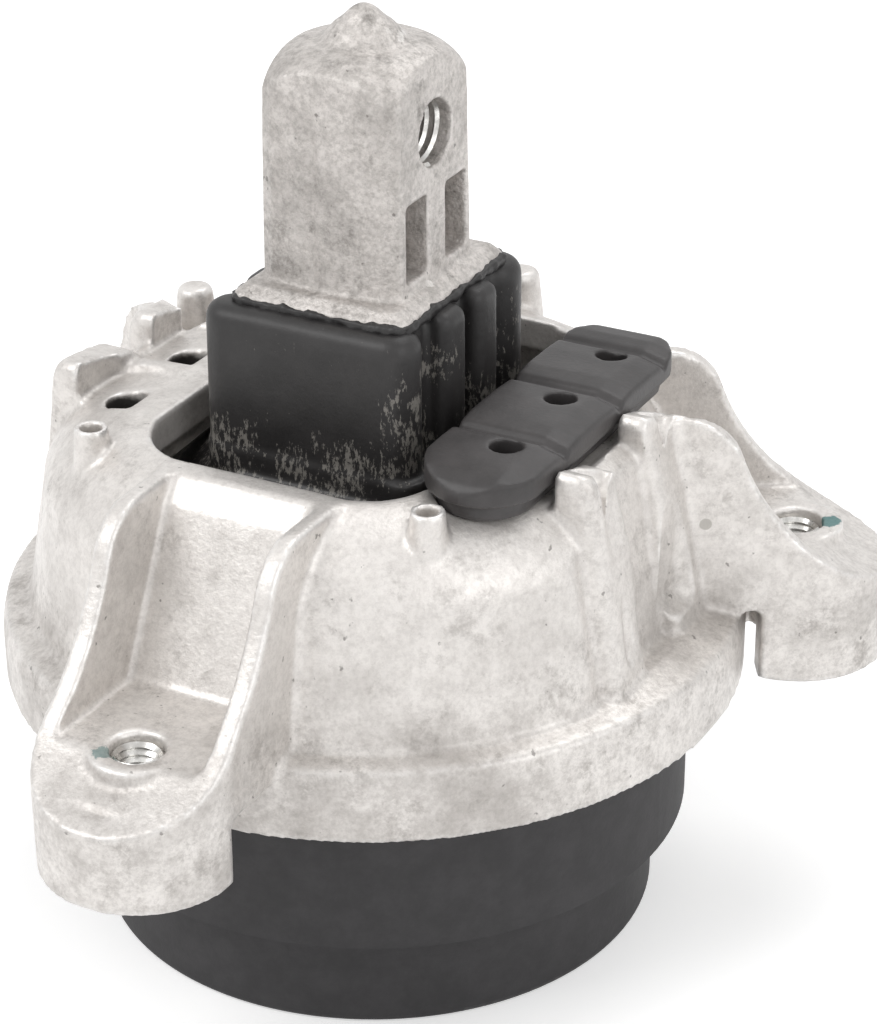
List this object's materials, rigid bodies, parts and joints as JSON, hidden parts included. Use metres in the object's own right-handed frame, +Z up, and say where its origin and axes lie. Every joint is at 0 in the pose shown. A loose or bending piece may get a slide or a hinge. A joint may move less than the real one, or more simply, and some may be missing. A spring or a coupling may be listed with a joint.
{
  "type": "hydraulic engine mount",
  "caption": "Hydraulic engine mount: die-cast housing with fixing ears, ribbed rubber block, cast post with a threaded hole, and a stepped base can.",
  "frame": {"origin": "centre of the base can's flat bottom, on the axis of the mount", "axes": "+Z up along the mount's axis towards the post; +X the way the threaded hole in the post opens; the first fixing ear points to -Y"},
  "size_m": [0.1492, 0.1455, 0.151],
  "materials": {
    "cast_housing": "as-cast, lightly stained",
    "cast_core": "blasted",
    "spring_rubber": "satin",
    "strip_rubber": "satin",
    "pressed_steel": "plain",
    "insert_steel": "bright",
    "channel_plastic": "matte",
    "can_plastic": "very matte"
  },
  "bodies": {
    "root": {"housing": "cast_housing", "core": "cast_core", "main_spring": "spring_rubber", "spring_ring": "pressed_steel", "buffer_strip": "strip_rubber", "insert_front": "insert_steel", "insert_right": "insert_steel", "insert_left": "insert_steel", "upper_channel_plate": "channel_plastic", "lower_channel_plate": "channel_plastic", "decoupler_membrane": "spring_rubber", "bellows": "spring_rubber", "bellows_ring": "pressed_steel", "base_can": "can_plastic"}
  },
  "joints": []
}
